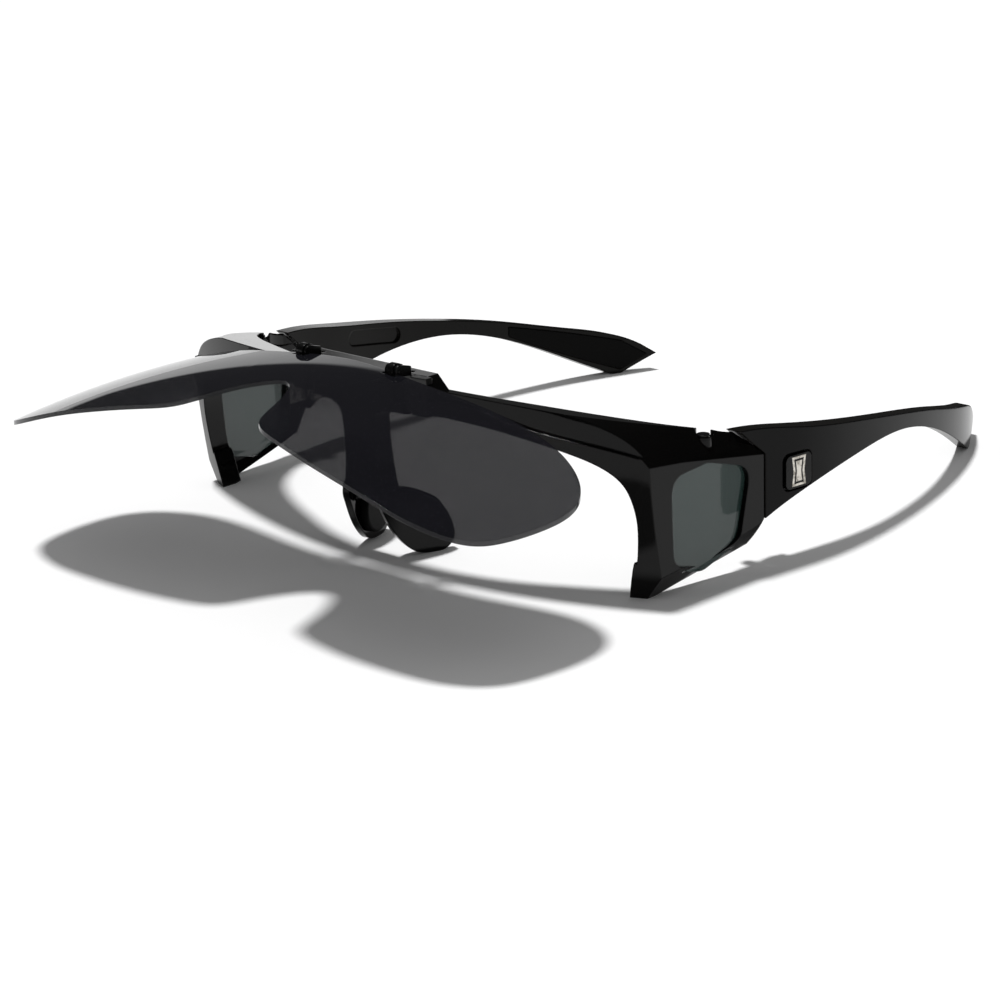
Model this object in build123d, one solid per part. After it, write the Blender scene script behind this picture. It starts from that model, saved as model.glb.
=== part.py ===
from build123d import *
import math
import os

# Fit-over sunglasses with a flip-up outer shield, standing on a table.
# Millimetres, +Z up, +X to the wearer's left, +Y from the front to the temple tips.
# The sketches are drawn from the heel of the feet at y = 0 and the whole part is
# moved along Y at the end, so that the origin is under the middle of its box.

# Shield: one curved lens with two lobes and a notch for the nose
shield_plan_radius = 182.0
shield_side_radius = 270.0
shield_thickness = 1.6
shield_half_width = 77.5
shield_height = 46.4
shield_outline_shares = [
    (0.062, 0.560), (0.115, 0.745), (0.180, 0.895), (0.290, 0.965), (0.460, 0.998), (0.640, 1.000),
    (0.800, 0.962), (0.930, 0.860), (0.988, 0.700), (1.000, 0.500), (0.992, 0.310), (0.945, 0.135),
    (0.840, 0.045), (0.600, 0.020), (0.300, 0.020),
]
notch_top_share = 0.440
shield_top_share = 0.020

# Flip hinge between the brow and the shield
flip_axis_y = -18.2
flip_axis_z = 48.3
flip_angle = 90.5
flip_hinge_x = 14.6
flip_pin_radius = 0.6
flip_ear_radius = 1.4
flip_ear_thickness = 0.8
flip_ear_length = 2.2
flip_barrel_radius = 1.75
flip_barrel_length = 1.8
flip_side_gap = 0.06
flip_pin_gap = 0.04
flip_pin_overhang = 0.12
clip_width = 4.4
clip_plate_thickness = 0.6
clip_plate_length = 5.6
clip_web_length = 2.4
clip_rivet_radius = 0.75
clip_rivet_fit = 0.03
clip_rivet_head_radius = 1.3
clip_rivet_head_height = 0.4
clip_rivet_drop = 4.8
clip_pocket_depth = 0.9
clip_pocket_margin = 0.4
bracket_inner_x = 14.3
bracket_outer_x = 22.0
bracket_front_thickness = 2.1
bracket_low = 37.6
bracket_base_thickness = 0.9
bracket_base_length = 5.6
bracket_screw_setback = 3.9
bracket_screw_radius = 0.6
bracket_screw_fit = 0.02
bracket_screw_head_radius = 1.2
bracket_screw_head_height = 0.45
bracket_screw_length = 3.6

# Frame front: rim, brow, side shields
rim_gap = 0.5
rim_depth = 5.6
rim_step = 0.9
brow_depth_margin = 2.4
rim_line_shares = [(0.30, 1.085), (0.585, 1.045), (0.655, 1.010), (0.787, 0.966), (0.915, 0.927), (1.02, 0.885)]
wall = 2.7
joint_half_width = 77.0
side_taper = 2.6
front_half_width = joint_half_width - side_taper
joint_y = 37.0
joint_gap = 0.3
brow_height = 45.3
brow_corner_height = 32.8
brow_corner_inset = 3.3
brow_corner_half_width = joint_half_width - brow_corner_inset
brow_corner_drop = 4.62
brow_dome_shares = [(0.955, 0.30), (0.875, 0.57), (0.750, 0.78), (0.545, 0.94), (0.330, 1.00)]
roof_height = 40.7
roof_slope = 0.25
roof_thickness = 3.0
platform_half_width = 20.5
platform_run = 4.5
platform_height = 46.7
notch_y = 29.3
side_face_front_height = 32.4
side_face_joint_height = 26.5
side_face_lean = 1.7
shelf_points_shares = [(0.27, -0.23), (0.42, -0.14), (0.55, -0.02), (0.66, 0.09), (0.76, 0.21), (0.86, 0.38),
                       (0.925, 0.58), (0.955, 0.80)]

# Feet and lower edge of the side shields
foot_inset = 6.0
foot_half_width = joint_half_width - foot_inset
foot_front_y = -0.5
foot_back_y = 5.0
shield_bulge_height = 11.0
shield_bulge_shares = [(0.948, 0.27), (0.982, 0.64)]
kink_y = 33.3
kink_height = 5.6
joint_low_height = 11.2

# Eye openings
opening_top_height = 38.2
opening_foot_lean_share = -0.2
opening_inset = 6.2
opening_half_width = joint_half_width - opening_inset
opening_foot_inset = 9.8
opening_foot_half_width = joint_half_width - opening_foot_inset
opening_outline_shares = [(0.190, 0.980), (0.300, 1.000), (0.420, 0.998), (0.560, 0.972), (0.700, 0.925),
                          (0.820, 0.870), (0.915, 0.800), (0.968, 0.715), (0.995, 0.580), (1.000, 0.420),
                          (0.985, 0.220)]
column_half_width = 5.0
column_flare = 1.6
column_foot_height = 17.0
column_corner_drop = 5.0
nose_arch_margin = 0.6
nose_arch_drop = 3.0
nose_arch_rise_share = 0.5

# Side windows
window_front_y = 6.6
window_hinge_gap = 0.8
window_low = 4.4
window_height = 24.4
window_corner_shares = [(0.02, 0.10), (0.00, 0.955), (0.46, 1.00), (1.00, 0.83), (0.86, 0.15), (0.42, 0.00)]
window_corner_radius = 4.2
window_panel_thickness = 1.5
window_lip = 1.3
window_panel_gap = 0.05

# Nose wings and pads
wing_splay = 17.7
wing_root_x = 6.0
wing_thickness = 1.7
wing_length = 19.6
wing_height = 17.6
wing_start_y = -16.4
wing_outline_shares = [(0.00, 0.90), (0.06, 1.00), (0.22, 1.00), (0.54, 0.90), (0.80, 0.70), (0.97, 0.38),
                       (0.99, 0.15), (0.88, 0.02), (0.70, 0.003), (0.52, 0.03), (0.30, 0.21), (0.13, 0.48),
                       (0.03, 0.72)]
pad_thickness = 1.8
pad_length_share = 0.66
pad_height_share = 0.70
pad_centre_length_share = 0.59
pad_centre_height_share = 0.47
pad_tilt = 24.0
pad_edge_radius = 0.8

# Temples
temple_length = 115.5
temple_flare = 2.5
temple_half_width = joint_half_width + temple_flare
temple_shares = [-0.072, 0.0, 0.112, 0.286, 0.460, 0.633, 0.807, 0.920, 1.0]
temple_outer_shares = [0.955, 0.971, 0.998, 1.000, 0.969, 0.916, 0.836, 0.762, 0.697]
temple_thickness = 4.0
temple_thickness_shares = [1.05, 1.05, 1.30, 1.05, 0.95, 0.90, 0.88, 0.86, 0.85]
temple_top_height = 33.6
temple_top_shares = [1.000, 0.975, 0.908, 0.812, 0.709, 0.584, 0.431, 0.319]
temple_low_height = 19.8
temple_low_shares = [0.565, 0.800, 0.985, 1.000, 0.740, 0.270]
temple_heel_start_share = 0.900
temple_heel_end_share = 0.918
temple_end_height = 4.8
temple_end_top_share = 0.965
temple_end_top_height = 7.9
temple_bevel_share = 0.29
temple_bevel_inset = 2.0

# Rubber grips let into the tips
grip_depth = 0.9
grip_stand_off = 0.25
grip_stations = slice(5, 8)
grip_inset = 1.2
grip_gap = 0.03
grip_end_inset = 2.5

# Slot on the inner side of each temple
slot_depth = 0.7
slot_start_y = 54.0
slot_length = 20.0
slot_height = 4.2
slot_middle_height = 24.6
slot_fall_angle = 9.0

# Temple hinges
hinge_inset = 7.0
hinge_x = joint_half_width - hinge_inset
hinge_axis_setback = 0.8
hinge_radius = 1.8
hinge_leaf_thickness = 0.8
hinge_low = 14.8
hinge_knuckle_height = 3.1
hinge_knuckle_gap = 0.06
hinge_screw_radius = 0.8
hinge_screw_fit = 0.02
hinge_screw_run = 0.05
hinge_screw_head_radius = 1.5
hinge_screw_head_height = 0.9
hinge_leaf_start = 2.0
hinge_leaf_length = 7.6
hinge_rivet_radius = 0.6
hinge_rivet_fit = 0.02
hinge_rivet_head_radius = 1.1
hinge_rivet_head_height = 0.35
hinge_rivet_depth = 1.5
hinge_rivet_spacing = 5.4
hinge_boss_margin = 1.2
hinge_boss_length = 8.8
hinge_boss_depth = 1.75
hinge_foot_length = 2.3
window_length = joint_y - window_front_y - hinge_foot_length - window_lip - window_hinge_gap

# Pocket with a screw in the rear corner of each side shelf
corner_screw_inset = 4.4
corner_screw_x = joint_half_width - corner_screw_inset
corner_screw_y = 20.6
corner_screw_radius = 0.7
corner_screw_fit = 0.02
corner_screw_head_radius = 1.5
corner_screw_head_height = 1.0
corner_screw_length = 2.5
corner_pocket_depth = 1.7
corner_pocket_gap = 0.35
corner_pocket_length = 7.4
corner_block_length = 4.3
corner_block_height = 1.1
corner_boss_radius = 2.0
corner_boss_depth = 3.3

# Badge plates on the temples, left plain
badge_length = 8.2
badge_height = 8.0
badge_thickness = 1.0
badge_stand_off = 0.3
badge_margin = 0.5
badge_y = 47.0
badge_z = 20.6
badge_turn = 7.0
badge_corner = 1.4
badge_station_share = 0.11

# Cutting tools run past the material by this much
overrun = 30.0
table = 0.0
shallow_overrun = 3.0
rebate_overrun = 7.5


def side_arc_inset(height):
    """How far the shield's vertical curve falls back at a height."""
    drop = flip_axis_z - height
    return shield_side_radius - math.sqrt(shield_side_radius**2 - drop**2)


def barrel(offset):
    """The space behind the shield's middle surface, moved back by an offset."""
    low = table - overrun
    high = flip_axis_z + overrun
    middle = (low + high) / 2
    radius = shield_plan_radius - offset
    edge = [(radius - side_arc_inset(z), z) for z in (low, middle, high)]
    with BuildSketch(Plane.XZ) as profile:
        with BuildLine():
            ThreePointArc(*edge)
            Polyline(edge[-1], (0, high), (0, low), edge[0])
        make_face()
    body = revolve(profile.sketch, axis=Axis.Z)
    return Pos(0, flip_axis_y + shield_plan_radius, 0) * body


def surface_y(x, offset, height=flip_axis_z):
    """Y of the shield's middle surface at a height, moved back by an offset."""
    radius = shield_plan_radius - offset - side_arc_inset(height)
    return flip_axis_y + shield_plan_radius - math.sqrt(radius**2 - x**2)


def face_from(points, plane):
    """A face bounded by straight lines through points."""
    with BuildSketch(plane) as sketch:
        with BuildLine():
            Polyline(*points, close=True)
        make_face()
    return sketch.sketch


def smooth_face(points, plane):
    """A face bounded by one smooth closed curve through points."""
    with BuildSketch(plane) as sketch:
        with BuildLine():
            Spline(*points, periodic=True)
        make_face()
    return sketch.sketch


def along_y(face, start, end):
    """A face drawn in XZ, carried from one y to another."""
    return Pos(0, end, 0) * extrude(face, end - start)


def along_x(face, start, end):
    """A face drawn in YZ, carried from one x to another."""
    return Pos(start, 0, 0) * extrude(face, end - start)


def left_and_right(solid):
    """A piece on the wearer's left and its mirror image on the right."""
    return solid, mirror(solid, about=Plane.YZ)


# The shield is made closed and turned up about the hinge axis
def shield_outline():
    """Closed outline of the shield, in x and z, seen from the front when it is down."""
    side = [(shield_half_width * x, flip_axis_z - shield_height * s) for x, s in shield_outline_shares]
    notch = (0, flip_axis_z - shield_height * notch_top_share)
    top = (0, flip_axis_z - shield_height * shield_top_share)
    return [notch] + side + [top] + [(-x, z) for x, z in reversed(side)]


def shield_shell(inner, outer):
    """The curved sheet between two offsets of the shield's surface."""
    return barrel(outer) - barrel(inner)


def clip_centres():
    return (flip_hinge_x, -flip_hinge_x)


def make_shield():
    half = shield_thickness / 2
    front = flip_axis_y - overrun
    back = flip_axis_y + 2 * overrun
    lens = shield_shell(half, -half) & along_y(smooth_face(shield_outline(), Plane.XZ), front, back)
    for x in clip_centres():
        notch_half = clip_width / 2 + clip_pocket_margin
        notch = Box(2 * notch_half, overrun, 2 * clip_web_length)
        hole = Cylinder(clip_rivet_radius + clip_rivet_fit, overrun, rotation=(90, 0, 0))
        lens -= Pos(x, flip_axis_y, flip_axis_z) * notch
        lens -= Pos(x, flip_axis_y, flip_axis_z - clip_rivet_drop) * hole
    return lens


def clip_plate(inner, outer, x):
    """One plate of a clip, lying on one face of the shield."""
    top = flip_axis_z - clip_web_length + clip_plate_thickness
    block = Pos(x, flip_axis_y, top - clip_plate_length / 2) * Box(clip_width, overrun, clip_plate_length)
    return shield_shell(inner, outer) & block


def make_clip(x):
    """Barrel, web and the two plates that hold the shield's top edge."""
    half = shield_thickness / 2
    reach = half + clip_plate_thickness
    clip = Pos(x, flip_axis_y, flip_axis_z) * Cylinder(flip_barrel_radius, flip_barrel_length, rotation=(0, 90, 0))
    web = Pos(x, flip_axis_y, flip_axis_z - clip_web_length / 2)
    clip += web * Box(flip_barrel_length, 2 * reach, clip_web_length)
    clip += clip_plate(half, -half - clip_plate_thickness, x) - shield_shell(half, -half)
    clip += clip_plate(reach, half, x)
    bridge = Pos(x, surface_y(x, 0), flip_axis_z - clip_web_length + clip_plate_thickness / 2)
    clip += bridge * Box(clip_width, 2 * reach, clip_plate_thickness)
    clip -= shield_shell(half, -half) & lower_block(x)
    pin_hole = Cylinder(flip_pin_radius + flip_pin_gap, overrun, rotation=(0, 90, 0))
    rivet_hole = Cylinder(clip_rivet_radius + clip_rivet_fit, overrun, rotation=(90, 0, 0))
    clip -= Pos(x, flip_axis_y, flip_axis_z) * pin_hole
    clip -= Pos(x, flip_axis_y, flip_axis_z - clip_rivet_drop) * rivet_hole
    return clip


def lower_block(x):
    """Where the shield's own sheet starts under a clip's web."""
    top = flip_axis_z - clip_web_length
    return Pos(x, flip_axis_y, top - clip_plate_length) * Box(2 * clip_width, overrun, 2 * clip_plate_length)


def make_clip_rivet(x):
    """A rivet through both plates and the shield, with its head on the front."""
    reach = shield_thickness / 2 + clip_plate_thickness
    z = flip_axis_z - clip_rivet_drop
    front = surface_y(x - clip_rivet_head_radius, -reach, z + clip_rivet_head_radius)
    length = surface_y(x, reach, z) - front
    shank = Pos(x, front + length / 2, z) * Cylinder(clip_rivet_radius, length, rotation=(90, 0, 0))
    head = Cylinder(clip_rivet_head_radius, clip_rivet_head_height, rotation=(90, 0, 0))
    return shank + Pos(x, front - clip_rivet_head_height / 2, z) * head


def turned_up(solid):
    """The shield's pieces are drawn closed and lie turned up in the part."""
    hinge = Axis((0, flip_axis_y, flip_axis_z), (-1, 0, 0))
    return solid.rotate(hinge, flip_angle)


# The frame front is one moulding, open below and behind
def side_x(y, inset):
    """Outer face of the side shields in plan, moved in by an inset."""
    run = joint_y - foot_front_y
    share = (y - foot_front_y) / run
    return front_half_width + (joint_half_width - front_half_width) * share - inset


def plan_prism(inset, back):
    """Everything between the two side faces, moved in by an inset."""
    front = flip_axis_y - overrun
    points = [(side_x(front, inset), front), (side_x(back, inset), back)]
    outline = points + [(-x, y) for x, y in reversed(points)]
    with BuildSketch(Plane.XY.offset(table - overrun)) as plan:
        with BuildLine():
            Polyline(*outline, close=True)
        make_face()
    return extrude(plan.sketch, 3 * overrun + flip_axis_z)


def front_prism(inset):
    """Dome of the brow and the sides seen from the front, moved in by an inset."""
    low = table - overrun
    rise = brow_height - brow_corner_height
    dome = [(brow_corner_half_width * x, brow_corner_height + rise * z) for x, z in brow_dome_shares]
    corner = (joint_half_width, brow_corner_height - brow_corner_drop)
    widest = joint_half_width + inset
    bulge = [(widest * x - 2 * inset, shield_bulge_height * z) for x, z in shield_bulge_shares]
    foot = (foot_half_width - inset, table)
    with BuildSketch(Plane.XZ) as sketch:
        with BuildLine():
            top = [(0, brow_height)] + [p for p in reversed(dome)] + [(brow_corner_half_width, brow_corner_height)]
            Spline(*top, corner)
            Polyline(corner, (joint_half_width, shield_bulge_height))
            Spline((joint_half_width, shield_bulge_height), bulge[1], bulge[0], foot)
            Polyline(foot, (foot[0], low), (0, low), (0, brow_height))
        make_face()
        mirror(about=Plane.YZ)
    return along_y(sketch.sketch, flip_axis_y - overrun, joint_y + overrun)


def roof_line(y):
    return roof_height - roof_slope * y


def side_prism():
    """Falling roof line and lower edge seen from the side."""
    front = flip_axis_y - overrun
    points = [
        (front, roof_line(front)),
        (notch_y, roof_line(notch_y)),
        (joint_y, side_face_joint_height),
        (joint_y, joint_low_height),
        (kink_y, kink_height),
        (foot_back_y, table),
        (front, table),
    ]
    return along_x(face_from(points, Plane.YZ), -joint_half_width - overrun, joint_half_width + overrun)


def bevel_block():
    """What lies outside the leaning upper band of the left side face."""
    run = joint_y - foot_front_y
    top = roof_line(notch_y)
    lean = math.degrees(math.atan2(side_face_lean, top - side_face_joint_height))
    drop = math.degrees(math.atan2(side_face_front_height - side_face_joint_height, run))
    turn = math.degrees(math.atan2(joint_half_width - front_half_width, run))
    block = Pos(overrun / 2, 0, overrun / 2) * Box(overrun, 4 * overrun, overrun)
    place = Pos(joint_half_width, joint_y, side_face_joint_height)
    return place * Rot(0, 0, -turn) * Rot(-drop, 0, 0) * Rot(0, -lean, 0) * block


def opening_points():
    return [(opening_half_width * x, opening_top_height * z) for x, z in opening_outline_shares]


def opening_prism():
    """The left eye opening, seen from the front and open at the bottom."""
    low = table - overrun
    column_foot = (column_half_width + column_flare, column_foot_height)
    column_top = (column_half_width, opening_top_height - column_corner_drop)
    middle = (column_half_width, (column_foot_height + column_top[1]) / 2)
    foot = (opening_foot_half_width, table)
    with BuildSketch(Plane.XZ) as sketch:
        with BuildLine():
            Polyline(foot, (foot[0], low), (column_foot[0], low), column_foot)
            Spline(column_foot, middle, column_top)
            Spline(column_top, *opening_points(), foot, tangents=[(0, 1), (opening_foot_lean_share, -1)])
        make_face()
    return along_y(sketch.sketch, flip_axis_y - overrun, notch_y)


def brow_setback():
    """The brow above the rim's raised edge lies back from the rim."""
    line = [(opening_half_width * x, opening_top_height * z) for x, z in rim_line_shares]
    high = flip_axis_z + overrun
    with BuildSketch(Plane.XZ) as sketch:
        with BuildLine():
            Spline(*line)
            Polyline(line[-1], (line[-1][0] + overrun, line[-1][1]), (line[-1][0] + overrun, high),
                     (line[0][0], high), line[0])
        make_face()
    face_offset = shield_thickness / 2 + rim_gap
    band = along_y(sketch.sketch, flip_axis_y - overrun, notch_y)
    return band & (barrel(face_offset - rim_step) - barrel(face_offset + rim_step))


def shelf_cut():
    """The space for the wearer's own glasses and brow, seen from above."""
    points = [(joint_half_width * x, joint_y * y) for x, y in shelf_points_shares]
    back = joint_y + overrun
    start = (0, surface_y(0, rim_depth) + brow_depth_margin)
    with BuildSketch(Plane.XY.offset(table - overrun)) as plan:
        with BuildLine():
            Spline(start, *points)
            Polyline(points[-1], (points[-1][0], back), (0, back), start)
        make_face()
        mirror(about=Plane.YZ)
    return extrude(plan.sketch, 3 * overrun + flip_axis_z)


def window_face(grow):
    """Rounded outline of a side window in y and z, grown all round."""
    corners = [(window_front_y + window_length * y, window_low + window_height * z) for y, z in window_corner_shares]
    with BuildSketch(Plane.YZ) as sketch:
        with BuildLine():
            Polyline(*corners, close=True)
        make_face()
        fillet(sketch.vertices(), window_corner_radius)
        if grow:
            offset(amount=grow)
    return sketch.sketch


def window_cut(grow):
    return along_x(window_face(grow), 2 * overrun, joint_half_width + overrun)


def side_slab(inset, thickness):
    """A slab that lies a given depth inside the left side face."""
    half = Pos(joint_half_width, 0, 0) * Box(2 * overrun, 8 * overrun, 8 * overrun)
    return (plan_prism(inset, joint_y) - plan_prism(inset + thickness, joint_y + overrun)) & half


def make_window():
    """A side lens, set into its rebate from the inside."""
    outline = window_cut(window_lip - window_panel_gap)
    inset = wall - window_panel_thickness
    return side_slab(inset, window_panel_thickness) & outline


def wing_plane():
    """Plane of the lateral face of the left nose wing."""
    splay = math.radians(wing_splay)
    along = (math.sin(splay), math.cos(splay), 0)
    outward = (math.cos(splay), -math.sin(splay), 0)
    return Plane(origin=(wing_root_x, wing_start_y, table), x_dir=along, z_dir=outward)


def make_wing():
    points = [(wing_length * u, wing_height * v) for u, v in wing_outline_shares]
    return extrude(smooth_face(points, wing_plane()), -wing_thickness)


def make_nose_pad():
    """A soft oval pad on the inner face of the left nose wing."""
    plane = wing_plane()
    centre = (wing_length * pad_centre_length_share, wing_height * pad_centre_height_share)
    seat = plane.offset(-wing_thickness)
    with BuildSketch(seat) as sketch:
        with Locations(centre):
            Ellipse(wing_length * pad_length_share / 2, wing_height * pad_height_share / 2, rotation=-pad_tilt)
    pad = extrude(sketch.sketch, -pad_thickness)
    outer = pad.faces().sort_by(Axis(seat.origin, seat.z_dir))[0]
    return fillet(outer.edges(), pad_edge_radius)


# The temple hinges, drawn on the left; end is -1 for the front leaf and 1 for the temple leaf
def hinge_y():
    return joint_y - hinge_axis_setback


def hinge_height():
    return 3 * hinge_knuckle_height


def hinge_boss(end):
    """Flat seat behind a hinge leaf."""
    height = hinge_height() + 2 * hinge_boss_margin
    near = joint_y + (joint_gap if end > 0 else 0)
    centre = (hinge_x + hinge_radius + hinge_boss_depth / 2, near + end * hinge_boss_length / 2,
              hinge_low - hinge_boss_margin + height / 2)
    boss = Pos(*centre) * Box(hinge_boss_depth, hinge_boss_length, height)
    foot = (centre[0] + hinge_boss_depth, near + end * hinge_foot_length / 2, centre[2])
    return boss + Pos(*foot) * Box(hinge_boss_depth, hinge_foot_length, height)


def hinge_rivet_centres(end):
    y = hinge_y() + end * (hinge_leaf_start + hinge_leaf_length) / 2
    middle = hinge_low + hinge_height() / 2
    return [(y, middle - hinge_rivet_spacing / 2), (y, middle + hinge_rivet_spacing / 2)]


def hinge_rivet_holes(end):
    x = hinge_x + hinge_radius
    length = hinge_rivet_depth + hinge_leaf_thickness + hinge_rivet_fit
    centre = x + hinge_rivet_depth + hinge_rivet_fit - length / 2
    hole = Cylinder(hinge_rivet_radius + hinge_rivet_fit, length, rotation=(0, 90, 0))
    first, second = [Pos(centre, y, z) * hole for y, z in hinge_rivet_centres(end)]
    return first + second


def make_hinge_rivets(end):
    """The two rivets that hold one leaf."""
    face = hinge_x + hinge_radius - hinge_leaf_thickness
    length = hinge_leaf_thickness + hinge_rivet_depth
    rivets = []
    for y, z in hinge_rivet_centres(end):
        shank = Pos(face + length / 2, y, z) * Cylinder(hinge_rivet_radius, length, rotation=(0, 90, 0))
        head = Pos(face - hinge_rivet_head_height / 2, y, z)
        head = head * Cylinder(hinge_rivet_head_radius, hinge_rivet_head_height, rotation=(0, 90, 0))
        rivets.append(shank + head)
    return rivets


def make_hinge_leaf(end):
    """A leaf with its knuckles: the front one has the outer two, the temple one the middle."""
    tight = hinge_screw_radius + (hinge_screw_run if end > 0 else hinge_screw_fit)
    length = hinge_leaf_length - hinge_leaf_start
    middle = hinge_y() + end * (hinge_leaf_start + length / 2)
    x = hinge_x + hinge_radius - hinge_leaf_thickness / 2
    leaf = Pos(x, middle, hinge_low + hinge_height() / 2) * Box(hinge_leaf_thickness, length, hinge_height())
    knuckles = [1] if end > 0 else [0, 2]
    for number in knuckles:
        low = hinge_low + number * hinge_knuckle_height
        high = low + hinge_knuckle_height
        low += hinge_knuckle_gap / 2 if number else 0
        high -= hinge_knuckle_gap / 2 if number < 2 else 0
        centre = (low + high) / 2
        leaf += Pos(hinge_x, hinge_y(), centre) * Cylinder(hinge_radius, high - low)
        web = Pos(x, hinge_y() + end * hinge_leaf_start / 2, centre)
        leaf += web * Box(hinge_leaf_thickness, hinge_leaf_start, high - low)
    leaf -= Pos(hinge_x, hinge_y(), hinge_low) * Cylinder(tight, overrun)
    return leaf - hinge_rivet_holes(end)


def make_hinge_screw():
    """Pivot screw, let in from above."""
    shank = Pos(hinge_x, hinge_y(), hinge_low + hinge_height() / 2) * Cylinder(hinge_screw_radius, hinge_height())
    head = Pos(hinge_x, hinge_y(), hinge_low + hinge_height() + hinge_screw_head_height / 2)
    return shank + head * Cylinder(hinge_screw_head_radius, hinge_screw_head_height)


# The flip hinges on the brow, drawn on the left
def clip_pocket():
    """Room in the brow for the clip behind the closed shield."""
    half = clip_width / 2 + clip_pocket_margin
    low = flip_axis_z - clip_web_length - clip_plate_length
    depth = shield_thickness / 2 + rim_gap + clip_pocket_depth
    block = Pos(flip_hinge_x, flip_axis_y, (low + platform_height) / 2)
    return (barrel(0) - barrel(depth)) & block * Box(2 * half, overrun, platform_height - low)


def bracket_plate(grow):
    """Front plate of a bracket, let into the brow."""
    depth = shield_thickness / 2 + rim_gap
    width = bracket_outer_x - bracket_inner_x
    high = platform_height
    block = Pos((bracket_outer_x + bracket_inner_x) / 2, flip_axis_y, (bracket_low + high) / 2)
    return (barrel(depth) - barrel(depth + bracket_front_thickness + grow)) & (
        block * Box(width + 2 * grow, overrun, high - bracket_low))


def bracket_screw_centre():
    back = surface_y(flip_hinge_x, shield_thickness / 2 + rim_gap) + bracket_screw_setback
    return flip_hinge_x, back


def bracket_space():
    """What the bracket's front plate and screw take out of the brow."""
    x, y = bracket_screw_centre()
    hole = Cylinder(bracket_screw_radius + bracket_screw_fit, 2 * bracket_screw_length)
    return bracket_plate(0) + Pos(x, y, platform_height) * hole


def ear_profile(front):
    """Side view of one ear, from the pin back onto the top plate."""
    top = platform_height + bracket_base_thickness
    back = front + flip_ear_length
    with BuildSketch(Plane.YZ) as ear:
        with Locations((flip_axis_y, flip_axis_z)):
            Circle(flip_ear_radius)
        with BuildLine():
            Polyline((flip_axis_y, flip_axis_z - flip_ear_radius), (front + flip_ear_radius, platform_height),
                     (back, platform_height), (back, top), (flip_axis_y, flip_axis_z + flip_ear_radius), close=True)
        make_face()
    return ear.sketch


def make_bracket():
    """Front plate, top plate and the two ears that carry the flip pin."""
    front = surface_y(flip_hinge_x, shield_thickness / 2 + rim_gap)
    width = flip_barrel_length + 2 * (flip_side_gap + flip_ear_thickness)
    base = Pos(flip_hinge_x, front + bracket_base_length / 2, platform_height + bracket_base_thickness / 2)
    base = base * Box(width, bracket_base_length, bracket_base_thickness)
    bracket = bracket_plate(0) + base
    for side in (-1, 1):
        near = flip_hinge_x + side * (flip_barrel_length / 2 + flip_side_gap)
        far = near + side * flip_ear_thickness
        bracket += along_x(ear_profile(front), min(near, far), max(near, far))
    swing = Cylinder(flip_barrel_radius + flip_side_gap, flip_barrel_length + 2 * flip_side_gap, rotation=(0, 90, 0))
    pin = Cylinder(flip_pin_radius + bracket_screw_fit, overrun, rotation=(0, 90, 0))
    bracket -= Pos(flip_hinge_x, flip_axis_y, flip_axis_z) * swing
    bracket -= Pos(flip_hinge_x, flip_axis_y, flip_axis_z) * pin
    x, y = bracket_screw_centre()
    bracket -= Pos(x, y, platform_height) * Cylinder(bracket_screw_radius + bracket_screw_fit, overrun)
    return bracket - clip_pocket()


def make_bracket_screw():
    x, y = bracket_screw_centre()
    top = platform_height + bracket_base_thickness
    shank = Pos(x, y, top - bracket_screw_length / 2) * Cylinder(bracket_screw_radius, bracket_screw_length)
    head = Pos(x, y, top + bracket_screw_head_height / 2)
    return shank + head * Cylinder(bracket_screw_head_radius, bracket_screw_head_height)


def make_flip_pin():
    length = flip_barrel_length + 2 * (flip_side_gap + flip_ear_thickness + flip_pin_overhang)
    return Pos(flip_hinge_x, flip_axis_y, flip_axis_z) * Cylinder(flip_pin_radius, length, rotation=(0, 90, 0))


# The pocket and screw in the rear corner of the shelf, drawn on the left
def corner_floor():
    return roof_line(corner_screw_y) - corner_pocket_depth - corner_pocket_gap


def corner_pocket():
    """Slot with a round front end, open above, and the screw's hole in its floor."""
    radius = corner_screw_head_radius + corner_pocket_gap
    floor = corner_floor()
    block = Pos(corner_screw_x, corner_screw_y + corner_pocket_length / 2, floor + overrun / 2)
    pocket = Pos(corner_screw_x, corner_screw_y, floor + overrun / 2) * Cylinder(radius, overrun)
    pocket += block * Box(2 * radius, corner_pocket_length, overrun)
    step = Pos(corner_screw_x, corner_screw_y + corner_pocket_length - corner_block_length / 2,
               floor + corner_block_height / 2)
    pocket -= step * Box(2 * radius, corner_block_length, corner_block_height)
    hole = Cylinder(corner_screw_radius + corner_screw_fit, 2 * corner_screw_length)
    return pocket + Pos(corner_screw_x, corner_screw_y, floor) * hole


def corner_boss():
    top = roof_line(corner_screw_y) - roof_thickness / 2
    return Pos(corner_screw_x, corner_screw_y, top - corner_boss_depth / 2) * Cylinder(
        corner_boss_radius, corner_boss_depth)


def make_corner_screw():
    x, y, floor = corner_screw_x, corner_screw_y, corner_floor()
    shank = Pos(x, y, floor - corner_screw_length / 2) * Cylinder(corner_screw_radius, corner_screw_length)
    head = Cylinder(corner_screw_head_radius, corner_screw_head_height)
    return shank + Pos(x, y, floor + corner_screw_head_height / 2) * head


# The temples, drawn on the left
def temple_y(share):
    return joint_y + temple_length * share


def temple_outer_points(inset):
    return [(temple_half_width * x - inset, temple_y(s)) for x, s in zip(temple_outer_shares, temple_shares)]


def temple_inner_points(inset):
    outer = temple_outer_points(0)
    depths = [temple_thickness * share for share in temple_thickness_shares]
    return [(x - depth + inset, y) for (x, y), depth in zip(outer, depths)]


def temple_band(outer_inset, inner_inset):
    """The temple seen from above, between its two faces."""
    outer = temple_outer_points(outer_inset)
    inner = temple_inner_points(inner_inset)
    return plan_band(outer, inner)


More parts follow.
